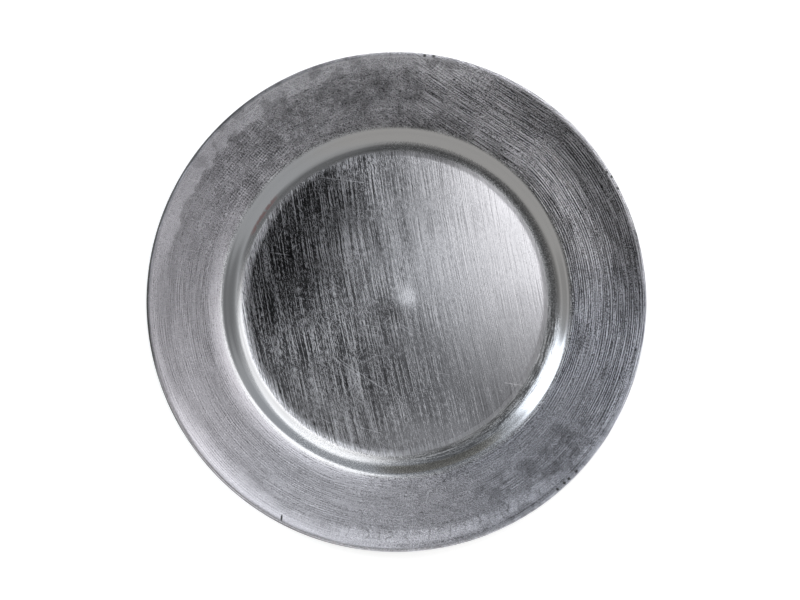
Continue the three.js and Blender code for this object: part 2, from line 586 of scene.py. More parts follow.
RIM_FINE = Strokes(0.65, 16, 0.0, 0.0)
RIM_DRIFT = Strokes(9, 60, 7.0, 1.0)
RIM_DRIFT_TURNS = 2.2
RIM_LINES = Strokes(3, 25, 9.0, 1.0)
RIM_LINES_DEPTH = (0.3, 0.7, 0.2, 1.8)
RIM_LINE_SPACING = 1.4
SLANT = 147
SLANT_LINE_SPACING = 1.5
RIM_SLANTED = Strokes(0.55, 22, 4.0, 0.0)
HATCH = 152
RIM_HATCH = Strokes(0.7, 10, 2.0, 1.5)
CROSSED_ACROSS = (52, 141)
CROSSED_SPACING = 1.75
CROSSED_PLACE = Spot((-92, 88), 16, 40, 0.3)
SWEPT_PLACES = [Sector(15, 42, 60), Sector(212, 34, 56), Sector(318, 16, 32, 0.6)]
SLANTED_PLACE = Sector(67, 11, 27)
SWEPT_MARKS = {"lines": 0.34, "fine": 0.7, "grit": 1.4}
SLANTED_MARKS = {"slanted": 0.9, "slanted_lines": 0.2, "grit": 1.6}
LOOSE_MARKS = {"fine": 0.4, "hatch": 0.5, "cloud": 0.5, "grit": 2.3}
RIM_HEIGHT = {"lines": 0.006, "fine": 0.015, "grit": 0.01, "cloud": 0.02}
RIM_DEPTH = 0.95
RIM_DEEPER = Sector(30, 32, 68, 1.1)
RIM_SHALLOWER = Sector(178, 26, 50, -0.25)
BURNISHED_AWAY = 0.7


def rim_grain(g, face, burnished_and_painted_light):
    """Strokes of the rim about zero, and their height."""
    drift = g.times(ring_strokes(g, face, RIM_DRIFT), RIM_DRIFT_TURNS)
    depth_of_lines = g.ease(ring_strokes(g, face, RIM_LINES), *RIM_LINES_DEPTH)
    slanted_across = g.dot(face.place, turned(SLANT - 90))
    fields = {
        "lines": g.times(grooves(g, face.radius, drift, RIM_LINE_SPACING), depth_of_lines),
        "fine": centred(g, ring_strokes(g, face, RIM_FINE)),
        "slanted": centred(g, straight_strokes(g, face.place, SLANT, RIM_SLANTED)),
        "slanted_lines": g.times(grooves(g, slanted_across, drift, SLANT_LINE_SPACING), depth_of_lines),
        "hatch": centred(g, straight_strokes(g, face.place, HATCH, RIM_HATCH)),
        "cloud": face.cloud,
        "grit": face.grit,
    }
    both_ways = [g.dot(face.place, turned(angle)) for angle in CROSSED_ACROSS]
    crossed = g.add(*[grooves(g, across, drift, CROSSED_SPACING) for across in both_ways])
    crossed = g.times(crossed, depth_of_lines, spot(g, face, CROSSED_PLACE))
    swept = either(g, *[sector(g, face, kind) for kind in SWEPT_PLACES])
    marks = g.mix(swept, weighted(g, LOOSE_MARKS, fields), weighted(g, SWEPT_MARKS, fields))
    marks = g.mix(sector(g, face, SLANTED_PLACE), marks, weighted(g, SLANTED_MARKS, fields))
    depth = g.add(sector(g, face, RIM_DEEPER), RIM_DEPTH, sector(g, face, RIM_SHALLOWER))
    marks = g.times(g.add(marks, crossed), depth, without(g, burnished_and_painted_light, BURNISHED_AWAY))
    return marks, weighted(g, RIM_HEIGHT, fields)


# Fine scratches at odd angles, and single ones between two points. They are densest at the lower left.

FINE_SCRATCHES = [
    (33, Strokes(0.6, 24, 11.0, 0.0)),
    (62, Strokes(0.6, 28, 13.0, 0.0)),
    (146, Strokes(0.6, 30, 15.0, 0.0)),
    (171, Strokes(0.6, 26, 17.0, 0.0)),
]
FINE_SCRATCH_COVER = (0.73, 0.83, 0.0, 0.6)
RUBBED_PLACE = Spot((-30, -45), 30, 75, 0.06)
RUBBED_PATINA = 0.2
SPARED_SIDE = Ramp(340, -5, 45, 0.0, -0.08)
SINGLE_SCRATCHES = [
    ((56, 121), (60, 125)),
    ((-85, 33), (-70, 31)),
    ((22, -123), (19, -134)),
    ((-52, 83), (-20, 79)),
    ((-79, 40), (-74, 52)),
    ((-104, 58), (-97, 47)),
    ((138, 66), (146, 74)),
    ((-43.8, -35.5), (-22.5, -50.8)),
    ((-38.5, -37.5), (-5.3, -60.1)),
    ((-30.5, -58.7), (-24.5, -48.8)),
    ((-28.5, -68), (-22.5, -56)),
    ((-57, -73.3), (-43.8, -80.6)),
    ((-25, -83), (-9.3, -87.3)),
    ((-53, -12.3), (-45, -24.2)),
    ((71, -53.4), (85.5, -55.8)),
]
SINGLE_SCRATCH_WIDTH = 0.38


def scratches(g, face):
    """Cover of the scratches that cross the strokes."""
    patina = g.times(face.patina, RUBBED_PATINA)
    rubbed = g.add(spot(g, face, RUBBED_PLACE), patina, ramp(g, face, SPARED_SIDE))
    cover = []
    for angle, kind in FINE_SCRATCHES:
        hair = straight_strokes(g, face.place, angle, kind)
        cover.append(g.ease(g.add(hair, rubbed), *FINE_SCRATCH_COVER))
    for line in SINGLE_SCRATCHES:
        cover.append(hairline(g, face, line, SINGLE_SCRATCH_WIDTH))
    return either(g, *cover)


# Where the leaf is gone: chips and a nick at the lip, and the lip's own edge on the left. The bare black
# edge on the left is partly wear and partly painted shade of that side.

LIP_CHIPS = [
    (118.5, -111.5),
    (113.6, -116.5),
    (110.6, -119.2),
    (106.2, -123.3),
    (142.0, 82.6),
    (145.8, 75.0),
    (138.5, 85.5),
    (158.5, 44.3),
    (18.5, 162.4),
    (24.5, 162.0),
]
CHIP_FADE = (1.3, 0.9)
CHIP_RAGGED = 1.6
LIP_NICK = ((-75.6, -139.4), (-75.9, -145))
LIP_NICK_WIDTH = 0.8
LIP_RAGGED = 1.2
# The bare lip on the left is also painted shade of the shaded side.
BARE_LIP_AND_PAINTED_SHADE = [Band((162.9, 163.8), None, Sector(160, 28, 46)), Band((163.9, 164.6), None, Sector(205, 40, 65))]


def bare_spots(g, face):
    bare = [hairline(g, face, LIP_NICK, LIP_NICK_WIDTH)]
    for centre in LIP_CHIPS:
        away = g.length(g.vector("SUBTRACT", face.flat, (*centre, 0)))
        bare.append(g.ease(g.add(away, g.times(face.grit, CHIP_RAGGED)), *CHIP_FADE))
    edge = g.add(face.radius, g.times(face.wander, LIP_RAGGED))
    bare += [band(g, face, edge, kind) for kind in BARE_LIP_AND_PAINTED_SHADE]
    return either(g, *bare)


# Small pale patches of leaf in a row along the near lip, with dark seams between them.

PATCH_ROW = Band((150.8, 151.9), (158.8, 157.9), Sector(282, 22, 32))
PATCH_ROW_RADIUS = 155
PATCH_ROW_RAGGED = 4
PATCH_LENGTH = 9.5
PATCH_WANDER = 3.5
PATCH_CLOUD = 0.5
SEAM_FADE = (0.42, 0.48)


def leaf_patches(g, face):
    """Cover of the patches, and of their seams."""
    azimuth = g.math("ARCTAN2", g.dot(face.flat, (0, 1, 0)), g.dot(face.flat, (1, 0, 0)))
    even_count = g.times(azimuth, PATCH_ROW_RADIUS / PATCH_LENGTH)
    count = g.add(even_count, g.times(face.wander, PATCH_WANDER), g.times(face.cloud, PATCH_CLOUD))
    from_middle = g.math("ABSOLUTE", centred(g, g.math("FRACT", count)))
    ragged = g.add(face.radius, g.times(face.cloud, PATCH_ROW_RAGGED))
    row = band(g, face, ragged, PATCH_ROW)
    return row, g.times(row, g.ease(from_middle, *SEAM_FADE))


# Bands near the lip that were burnished smooth, with fewer marks, and are also painted lighter on the rim as
# painted light. Their inner edge is ragged.

BURNISHED_AND_PAINTED_LIGHT_WANDER = 10
BURNISHED_AND_PAINTED_LIGHT_CLOUD = 8
BURNISHED_AND_PAINTED_LIGHT = {
    "far": Band((151, 154), (163, 161.5), Sector(120, 36, 60)),
    "left": Band((148, 157), (163, 161.5), Sector(238, 20, 42, 0.75)),
    "near": Band((148, 157), (161, 158.5), Sector(272, 32, 62, 0.75)),
}


def burnished_and_painted_light_bands(g, face):
    wander = g.times(face.wander, BURNISHED_AND_PAINTED_LIGHT_WANDER)
    ragged = g.add(face.radius, wander, g.times(face.cloud, BURNISHED_AND_PAINTED_LIGHT_CLOUD))
    burnished_and_painted_light = []
    for kind in BURNISHED_AND_PAINTED_LIGHT.values():
        edges = g.times(g.ease(ragged, *kind.fade_in), g.ease(face.radius, *kind.fade_out))
        burnished_and_painted_light.append(g.times(edges, sector(g, face, kind.sector)))
    return either(g, *burnished_and_painted_light)


# How light the leaf of the rim is: its own pale patches, patina, blotches and dark seams, with painted light
# and painted shade in bands and spots. Shares are of its usual tone.

RIM_RAGGED = 20
# Painted light: lighter bands on the rim and on the lip.
RIM_PAINTED_LIGHT = {
    "outer_left": Band((157, 160), None, Sector(222, 36, 65, 0.25)),
    "outer_right": Band((154, 160), None, Sector(335, 10, 26, 0.35)),
    "inner_edge": Band(None, (133, 124), Sector(215, 40, 70, 0.14)),
    "lip_near": Band((162, 163.5), None, Sector(270, 65, 90, 0.58)),
    "lip_right": Band((163, 164), None, Sector(52, 34, 64, 0.85)),
}
RIM_PAINTED_LIGHT_INSIDE = Band(None, (152, 142), Sector(207, 45, 82, 0.26))
# The burnished bands are painted lighter here, as painted light.
RIM_LIGHTER = {"burnished_and_painted_light": 0.8, "patches": 0.3, "patina": 0.2}
# Painted shade: darker rim at the top, the right and the near side, and on the outer rim at the upper right.
RIM_PAINTED_SHADE_TOP = Band(None, (152, 136), Sector(82, 16, 38, 0.22))
RIM_PAINTED_SHADE_RIGHT = Sector(22, 30, 62, 0.09)
RIM_PAINTED_SHADE_NEAR = Spot((108, -101), 8, 30, 0.12)
RIM_PAINTED_SHADE_OUTER_RIGHT = Band((138, 150), None, Sector(30, 14, 42, 0.4))
RIM_PAINTED_SHADE_OUTER_END = (163, 161)
MOTTLE = NoiseKind(0.11, 3, 0.6)
MOTTLE_PATINA = 0.5
BLOTCH_FADE = (0.5, 0.6)
MOTTLED = {
    "top": Band(None, None, Sector(108, 28, 48, 0.3)),
    "near": Band((126, 138), None, Sector(311, 14, 26, 0.3)),
}
SEAM_DARK = 0.4


def rim_tone(g, face, burnished_and_painted_light):
    ragged = g.add(face.radius, g.times(face.wander, RIM_RAGGED))
    patches, seams = leaf_patches(g, face)
    fields = {"burnished_and_painted_light": burnished_and_painted_light, "patches": patches, "patina": face.patina}
    wear_and_painted_light = g.add(*bands(g, face, RIM_PAINTED_LIGHT), band(g, face, ragged, RIM_PAINTED_LIGHT_INSIDE))
    lighter = g.add(1.0, wear_and_painted_light, weighted(g, RIM_LIGHTER, fields))
    mottle = g.add(g.noise(face.place, *MOTTLE), g.times(face.patina, MOTTLE_PATINA))
    blotches = g.times(either(g, *bands(g, face, MOTTLED)), g.ease(mottle, *BLOTCH_FADE))
    # Painted shade on the outer rim at the upper right, and at the top, right and near side.
    painted_shade_outer_right = g.times(band(g, face, ragged, RIM_PAINTED_SHADE_OUTER_RIGHT), g.ease(face.radius, *RIM_PAINTED_SHADE_OUTER_END))
    painted_shade_top = band(g, face, ragged, RIM_PAINTED_SHADE_TOP)
    painted_shade_rim = g.add(painted_shade_top, sector(g, face, RIM_PAINTED_SHADE_RIGHT), spot(g, face, RIM_PAINTED_SHADE_NEAR))
    darker = g.add(blotches, painted_shade_outer_right, painted_shade_rim, g.times(seams, SEAM_DARK))
    return g.times(lighter, without(g, darker))


# How light the leaf of the well is, all of it painted light and shade: painted shade at the upper left and
# on the ledge, a painted highlight over the gate, and painted light in other spots.

# Painted shade: darker leaf on the floor towards the upper left, and on parts of the ledge.
WELL_PAINTED_SHADE = {
    "left": Spot((-82, 30), 26, 64, 0.46),
    "upper_left": Spot((-52, 64), 18, 54, 0.5),
    "top": Spot((-8, 66), 20, 48, 0.18),
    "middle": Spot((4, -24), 8, 30, 0.1),
    "right": Spot((74, 40), 8, 24, 0.06),
}
WELL_PAINTED_SHADE_END = (101, 98.5)
LEDGE_PAINTED_SHADE = {
    "top": Band((96.5, 98), (104, 102), Sector(105, 28, 52, 0.3)),
    "near": Band((100, 101), (104.5, 103), Sector(302, 16, 32, 0.3)),
    "right": Band((102, 103.2), (107, 105.5), Sector(40, 45, 65, 0.3)),
    "lower_right": Band((96.4, 97.4), (101, 99.8), Sector(327, 18, 34, 0.18)),
}
# Painted light: a painted highlight over the gate, and lighter leaf in spots of the floor and on the ledge
# at the left.
WELL_PAINTED_LIGHT = {
    "gate": Spot((8.3, 2.7), 1.5, 9, 0.2),
    "middle": Spot((38, 14), 18, 52, 0.12),
    "lower_left": Spot((-52, -12), 14, 40, 0.12),
}
WELL_PAINTED_LIGHT_NEAR = Spot((22, -84), 16, 42, 0.26)
WELL_PAINTED_LIGHT_NEAR_END = (99, 97)
LEDGE_PAINTED_LIGHT_LEFT = Band((99.6, 100.6), (105, 102.5), Sector(222, 36, 54, 0.55))
# Painted shade: the floor is painted darker towards the left.
WELL_PAINTED_SHADE_LEFT = Ramp(200, -12, 30, 0.0, -0.1)
WELL_PAINTED_SHADE_LEFT_END = (99, 96)


def well_tone(g, face):
    painted_shade_floor = g.times(either(g, *spots(g, face, WELL_PAINTED_SHADE)), g.ease(face.radius, *WELL_PAINTED_SHADE_END))
    painted_shade_well = either(g, painted_shade_floor, *bands(g, face, LEDGE_PAINTED_SHADE))
    painted_light_near = g.times(spot(g, face, WELL_PAINTED_LIGHT_NEAR), g.ease(face.radius, *WELL_PAINTED_LIGHT_NEAR_END))
    wear_and_painted_light = g.add(*spots(g, face, WELL_PAINTED_LIGHT), painted_light_near, band(g, face, face.radius, LEDGE_PAINTED_LIGHT_LEFT))
    painted_shade_left = g.times(ramp(g, face, WELL_PAINTED_SHADE_LEFT), g.ease(face.radius, *WELL_PAINTED_SHADE_LEFT_END))
    return g.add(without(g, painted_shade_well), wear_and_painted_light, painted_shade_left)


# Stretches of the shoulder painted lighter or darker, as a change of the tone: painted light and painted
# shade, some of the shade laid over a glint.

SHOULDER_PAINTED_LIGHT_AND_SHADE = {
    "painted_shade_top": Band((96.7, 97.7), (105.3, 104.3), Sector(82, 11, 25, -0.26)),
    "painted_light_ledge_left": Band((96.7, 97.7), (100.1, 99.1), Sector(166, 23, 37, 0.28)),
    "painted_shade_foot_left": Band((104.5, 105.5), (107.3, 106.3), Sector(150, 7, 21, -0.26)),
    "painted_light_foot_left": Band((104.5, 105.5), (107.3, 106.3), Sector(182, 7, 21, 0.24)),
    "painted_shade_glint_left": Band((102.5, 103.5), (107.5, 106.5), Sector(212, 13, 27, -0.12)),
    "painted_shade_foot_near": Band((104.5, 105.5), (110.9, 109.9), Sector(297, 8, 22, -0.2)),
    "painted_light_edge_near": Band((111.7, 112.7), (115.9, 114.9), Sector(287, 20, 34, 0.25)),
    "painted_light_flank_left": Band((107.3, 108.3), (110.5, 109.5), Sector(208, 11, 25, 0.2)),
    "painted_light_ledge_right": Band((97.1, 98.1), (102.3, 101.3), Sector(40, 17, 31, 0.16)),
    "painted_light_edge_right": Band((114.1, 115.1), (118.5, 117.5), Sector(331, 9, 23, 0.42)),
    "painted_shade_flank_right": Band((109.5, 110.5), (113.5, 112.5), Sector(0, 7, 21, -0.2)),
}

# Where the leaf is brushed: straight strokes on the floor, which run on past its edge on the left,
# strokes round the rim, and grain or scuffs on parts of the shoulder. The ledge is scuffed dull.

Zones = namedtuple("Zones", "on_floor on_rim scuffed_near brushed dull_ledge")

FLOOR_EDGE_WANDER = 1.5
FLOOR_EDGE_GRIT = 1.5
FLOOR_OVERRUN = Sector(205, 55, 95, 2.2)
FLOOR_END = (102, 99)
RIM_START = (114, 116.5)
GRAINED_NEAR = Sector(274, 34, 50, 0.8)
GRAINED_RIGHT = Band(None, (108, 105.5), Sector(40, 45, 65, 0.9))
SCUFFED_NEAR = [Sector(329, 22, 33), Sector(290, 10, 20, 0.8)]
SCUFFED_NEAR_END = (112, 107)
DULL_LEDGE_START = (97.0, 98.4)
DULL_LEDGE_END = (100.8, 99.6)
CLEAN_LEDGE = Sector(105, 20, 50, 0.8)


def leaf_zones(g, face):
    wander = g.times(face.wander, FLOOR_EDGE_WANDER)
    floor_edge = g.add(face.radius, wander, g.times(face.grit, FLOOR_EDGE_GRIT))
    stroke_end = g.math("SUBTRACT", floor_edge, sector(g, face, FLOOR_OVERRUN))
    on_floor = g.ease(stroke_end, *FLOOR_END)
    on_rim = g.ease(face.radius, *RIM_START)
    scuffed_near = either(g, *[sector(g, face, kind) for kind in SCUFFED_NEAR])
    scuffed_near = g.times(scuffed_near, g.ease(face.radius, *SCUFFED_NEAR_END))
    grained = either(g, sector(g, face, GRAINED_NEAR), band(g, face, face.radius, GRAINED_RIGHT))
    dull_ledge = g.times(g.ease(floor_edge, *DULL_LEDGE_START), g.ease(stroke_end, *DULL_LEDGE_END))
    return Zones(
        on_floor=on_floor,
        on_rim=on_rim,
        scuffed_near=scuffed_near,
        brushed=either(g, on_floor, on_rim, grained, scuffed_near),
        dull_ledge=g.times(dull_ledge, without(g, sector(g, face, CLEAN_LEDGE))),
    )


# Colours of the leaf and of what shows under it. The leaf is painted with a tint of the room light it
# mirrors: warmer on the right of the floor and on the left of the rim, cooler on the near side and lower
# right of the rim.

FLOOR_SILVER = (0.326, 0.328, 0.348, 1)
FLOOR_SILVER_PAINTED_WARM = (0.333, 0.328, 0.342, 1)
FLOOR_PAINTED_WARMTH = Ramp(15, 0, 80, 0.0, 1.0)
SHOULDER_SILVER = (0.374, 0.376, 0.384, 1)
RIM_SILVER = (0.291, 0.286, 0.301, 1)
RIM_SILVER_PAINTED_COOL_NEAR = (0.287, 0.286, 0.309, 1)
RIM_SILVER_PAINTED_COOL_RIGHT = (0.282, 0.287, 0.318, 1)
RIM_SILVER_PAINTED_WARM_LEFT = (0.297, 0.287, 0.306, 1)
RIM_SILVER_START = (114.5, 118.5)
NEAR_SIDE = 265
NEAR_SIDE_FADE = (-0.6, 0.4)
RIGHT_SIDE = Sector(328, 12, 50)
LEFT_SIDE = Sector(178, 24, 62)
BROWN_PATINA = (0.352, 0.338, 0.306, 1)
BROWN_FLANK = Band((108, 109.5), (114, 112.8), Sector(286, 12, 26))
RED_BOLE = (0.15, 0.045, 0.04, 1)
BOLE_PLACE = Band((104.2, 105.2), (107.4, 106.4), Sector(147, 5, 10, 0.6))
BOLE_NOISE = NoiseKind(0.4, 2, 0.5)
BOLE_FADE = (0.38, 0.52)
BARE_PLASTIC = (0.012, 0.012, 0.013, 1)


def silver_colour(g, face, zones):
    near_side = g.ease(g.dot(face.outward, turned(NEAR_SIDE)), *NEAR_SIDE_FADE)
    rim_silver = g.mix_colour(near_side, RIM_SILVER, RIM_SILVER_PAINTED_COOL_NEAR)
    rim_silver = g.mix_colour(sector(g, face, RIGHT_SIDE), rim_silver, RIM_SILVER_PAINTED_COOL_RIGHT)
    rim_silver = g.mix_colour(sector(g, face, LEFT_SIDE), rim_silver, RIM_SILVER_PAINTED_WARM_LEFT)
    floor_silver = g.mix_colour(ramp(g, face, FLOOR_PAINTED_WARMTH), FLOOR_SILVER, FLOOR_SILVER_PAINTED_WARM)
    silver = g.mix_colour(g.ease(face.radius, *RIM_SILVER_START), SHOULDER_SILVER, rim_silver)
    silver = g.mix_colour(band(g, face, face.radius, BROWN_FLANK), silver, BROWN_PATINA)
    return g.mix_colour(zones.on_floor, silver, floor_silver)


# How strongly the marks and scratches show in the tone and the roughness, and the leaf's other finish.

SHOULDER_SCUFFS = Strokes(0.55, 14, 5.0, 0.0)
SHOULDER_MARKS = {"grit": 1.6, "scuffs": 1.5}
MARKS_TONE = 1.3
SCRATCHES_TONE = 0.45
SCORED_FADE = (-0.02, 0.4)
FLOOR_ROUGHNESS = 0.14
SHOULDER_ROUGHNESS = 0.19
RIM_ROUGHNESS = 0.26
LEDGE_ROUGHNESS = 0.36
LIP_ROUGHNESS = 0.42
LIP_START = (161, 162.5)
SCORED_WELL_ROUGHNESS = 0.37
SCORED_RIM_ROUGHNESS = 0.5
LAP_LINE = ((69, -73.5), (72.5, -89.5))
LAP_WIDTH = 0.4
LAP_HEIGHT = 0.012
BARE_DEPTH = -0.1
BRUSHED_ANISOTROPY = 0.3


def leaf_material():
    material, g = new_material("brushed_silver_leaf")
    face = face_fields(g)
    zones = leaf_zones(g, face)
    burnished_and_painted_light = burnished_and_painted_light_bands(g, face)

    marks_floor, height_floor = floor_grain(g, face)
    marks_rim, height_rim = rim_grain(g, face, burnished_and_painted_light)
    scuffs = g.times(centred(g, ring_strokes(g, face, SHOULDER_SCUFFS)), zones.scuffed_near)
    marks_shoulder = weighted(g, SHOULDER_MARKS, {"grit": face.grit, "scuffs": scuffs})
    marks = g.mix(zones.on_rim, g.mix(zones.on_floor, marks_shoulder, marks_floor), marks_rim)
    scratched = g.times(scratches(g, face), zones.brushed)
    scored = either(g, g.times(g.ease(marks, *SCORED_FADE), zones.brushed), scratched)

    tone = g.mix(zones.on_rim, well_tone(g, face), rim_tone(g, face, burnished_and_painted_light))
    # Painted light and painted shade on the shoulder.
    shoulder_painted_light_and_shade = g.add(1.0, *bands(g, face, SHOULDER_PAINTED_LIGHT_AND_SHADE))
    marked = g.add(g.times(marks, zones.brushed, MARKS_TONE), g.times(scratched, SCRATCHES_TONE), 1.0)
    colour = g.scaled(silver_colour(g, face, zones), g.times(tone, shoulder_painted_light_and_shade, marked))
    bole = g.ease(g.noise(face.place, *BOLE_NOISE), *BOLE_FADE)
    bole = g.times(bole, band(g, face, face.radius, BOLE_PLACE))
    colour = g.mix_colour(bole, colour, RED_BOLE)
    bare = bare_spots(g, face)
    colour = g.mix_colour(bare, colour, BARE_PLASTIC)

    smooth = g.mix(zones.on_floor, SHOULDER_ROUGHNESS, FLOOR_ROUGHNESS)
    smooth = g.mix(zones.on_rim, smooth, RIM_ROUGHNESS)
    smooth = g.mix(zones.dull_ledge, smooth, LEDGE_ROUGHNESS)
    smooth = g.mix(g.ease(face.radius, *LIP_START), smooth, LIP_ROUGHNESS)
    rough = g.mix(zones.on_rim, SCORED_WELL_ROUGHNESS, SCORED_RIM_ROUGHNESS)

    lap = hairline(g, face, LAP_LINE, LAP_WIDTH)
    height = g.add(g.times(height_floor, zones.on_floor), g.times(height_rim, zones.on_rim))
    height = g.add(height, g.times(lap, LAP_HEIGHT), g.times(bare, BARE_DEPTH))
    bump = g.node("ShaderNodeBump", None, Strength=1.0, Distance=MM, Height=height)

    shader = g.node(
        "ShaderNodeBsdfPrincipled",
        None,
        Base_Color=colour,
        Metallic=without(g, either(g, bare, bole)),
        Roughness=g.mix(either(g, scored, bare), smooth, rough),
        Anisotropic=BRUSHED_ANISOTROPY,
        Tangent=g.mix_vector(zones.on_floor, face.outward, turned(FLOOR_STROKES - 90)),
        Normal=bump.outputs[0],
    )
    finish_surface(g, shader.outputs[0])
    return material


# The plastic has a fine grain, flow marks that run out from the gate, and scuffs at three angles.
# It is worn lighter and rougher on the land of the foot ring, and a little wherever it is scuffed.

PLASTIC_DARK = (0.010, 0.010, 0.011, 1)
PLASTIC_LIGHT = (0.017, 0.017, 0.018, 1)
PLASTIC_WORN = (0.060, 0.060, 0.063, 1)
PLASTIC_GRAIN = NoiseKind(2.2, 3, 0.6)
PLASTIC_GRAIN_HEIGHT = 0.1 * MM
PLASTIC_GRAIN_STRENGTH = 0.4
PLASTIC_CLOUD = NoiseKind(0.04, 3, 0.5)
FLOW_NOISE = NoiseKind(1.0, 3, 0.6)
FLOW_SPOKES = 9
FLOW_LENGTH = 45
FLOW_ROUGHNESS = 0.25
BACK_SCUFFS = [
    (22, Strokes(0.5, 12, 21.0, 0.5)),
    (78, Strokes(0.5, 9, 23.0, 0.5)),
    (131, Strokes(0.5, 14, 25.0, 0.5)),
]
BACK_SCUFF_FADE = (0.62, 0.74)
LAND_FADE = (0.3, 0.05)
LAND_WEAR = 0.4
LAND_SCUFF_WEAR = 0.6
BACK_SCUFF_WEAR = 0.12
PLASTIC_SMOOTH = 0.36
PLASTIC_ROUGH = 0.50
WORN_ROUGHNESS = 0.62


def plastic_material():
    material, g = new_material("black_plastic")
    place, flat = plan(g)
    spokes = g.scaled(g.vector("NORMALIZE", flat), FLOW_SPOKES)
    along_flow = g.join(0.0, 0.0, g.times(g.length(flat), 1 / FLOW_LENGTH))
    flow = centred(g, g.noise(g.vector("ADD", spokes, along_flow), *FLOW_NOISE))
    cloud = g.noise(place, *PLASTIC_CLOUD)
    hairs = [straight_strokes(g, place, angle, kind) for angle, kind in BACK_SCUFFS]
    scuffs = either(g, *[g.ease(hair, *BACK_SCUFF_FADE) for hair in hairs])
    on_land = g.ease(g.dot(place, (0, 0, 1)), *LAND_FADE)
    worn_land = g.times(on_land, g.add(g.times(scuffs, LAND_SCUFF_WEAR), LAND_WEAR))
    wear_and_painted_light = either(g, worn_land, g.times(scuffs, BACK_SCUFF_WEAR))
    colour = g.mix_colour(cloud, PLASTIC_DARK, PLASTIC_LIGHT)
    roughness = g.add(g.mix(cloud, PLASTIC_SMOOTH, PLASTIC_ROUGH), g.times(flow, FLOW_ROUGHNESS))
    bump = g.node(
        "ShaderNodeBump",
        None,
        Strength=PLASTIC_GRAIN_STRENGTH,
        Distance=PLASTIC_GRAIN_HEIGHT,
        Height=g.noise(place, *PLASTIC_GRAIN),
    )
    shader = g.node(
        "ShaderNodeBsdfPrincipled",
        None,
        Base_Color=g.mix_colour(wear_and_painted_light, colour, PLASTIC_WORN),
        Roughness=g.mix(wear_and_painted_light, roughness, WORN_ROUGHNESS),
        Normal=bump.outputs[0],
    )
    finish_surface(g, shader.outputs[0])
    return material


# The studio: a white floor, a grey room with a darker ceiling, soft lamps and a black card.

PAPER_DARK = (0.80, 0.80, 0.80, 1)
PAPER_LIGHT = (0.84, 0.84, 0.84, 1)
PAPER_FIBRE = NoiseKind(900, 3, 0.5)
PAPER_GLOW = 0.6
FLOOR_HALF_WIDTH = 40
FLOOR_GAP = 0.1 * MM
CARD_DARK = (0.004, 0.004, 0.004, 1)
CARD_LIGHT = (0.010, 0.010, 0.010, 1)
CARD_FELT = NoiseKind(600, 2, 0.5)
CARD_SIDES = 48
WINDOW_COLOUR = (0.91, 0.97, 1.04)


def floor_material():
    """White paper. What the lamps leave short of white is made up where it is seen or mirrored."""
    material, g = new_material("white_paper")
    place = g.node("ShaderNodeTexCoord").outputs["Object"]
    colour = g.mix_colour(g.noise(place, *PAPER_FIBRE), PAPER_DARK, PAPER_LIGHT)
    paper = g.node("ShaderNodeBsdfDiffuse", None, Color=colour)
    path = g.node("ShaderNodeLightPath").outputs
    seen = g.add(path["Is Camera Ray"], path["Is Glossy Ray"], path["Is Transmission Ray"])
    strength = g.math("MINIMUM", g.times(seen, PAPER_GLOW), PAPER_GLOW)
    glow = g.node("ShaderNodeEmission", None, Color=(1, 1, 1, 1), Strength=strength)
    both = g.node("ShaderNodeAddShader")
    g.put(both.inputs[0], paper.outputs[0])
    g.put(both.inputs[1], glow.outputs[0])
    finish_surface(g, both.outputs[0])
    return material


def white_floor():
    half = FLOOR_HALF_WIDTH
    mesh = bpy.data.meshes.new("studio_floor")
    corners = [(-half, -half, 0), (half, -half, 0), (half, half, 0), (-half, half, 0)]
    mesh.from_pydata(corners, [], [(0, 1, 2, 3)])
    mesh.materials.append(floor_material())
    floor = bpy.data.objects.new("studio_floor", mesh)
    bpy.context.scene.collection.objects.link(floor)
    floor.location.z = -FLOOR_GAP


def direction(azimuth, from_zenith):
    """Unit vector towards a place in the room, by its azimuth and its angle from straight up."""
    side = math.sin(math.radians(from_zenith))
    x, y, _ = turned(azimuth)
    return Vector((x * side, y * side, math.cos(math.radians(from_zenith))))


def oval_lamp(name, width, height, radiance):
    """An oval area lamp of even brightness, to be hung somewhere in the room."""
    light = bpy.data.lights.new(name, "AREA")
    light.shape = "ELLIPSE"
    light.size = width
    light.size_y = height
    light.energy = radiance * math.pi * (math.pi / 4 * width * height)
    lamp = bpy.data.objects.new(name, light)
    bpy.context.scene.collection.objects.link(lamp)
    return lamp


def ceiling_panel(name, place, long_towards, width, length, radiance):
    """A lamp that hangs level, with its length along an azimuth."""
    lamp = oval_lamp(name, width, length, radiance)
    turn = Matrix.Rotation(math.radians(long_towards - 90), 4, "Z")
    lamp.matrix_world = Matrix.Translation(place) @ turn


def softbox(name, azimuth, from_zenith, distance, width, height, radiance):
    """A lamp that faces the plate. Its height runs up and down, and its width runs level."""
    lamp = oval_lamp(name, width, height, radiance)
    towards = direction(azimuth, from_zenith)
    level = Vector((0, 0, 1)).cross(towards).normalized()
    up = towards.cross(level)
    turn = Matrix((level, up, towards)).transposed()
    lamp.matrix_world = Matrix.Translation(towards * distance) @ turn.to_4x4()
    return lamp


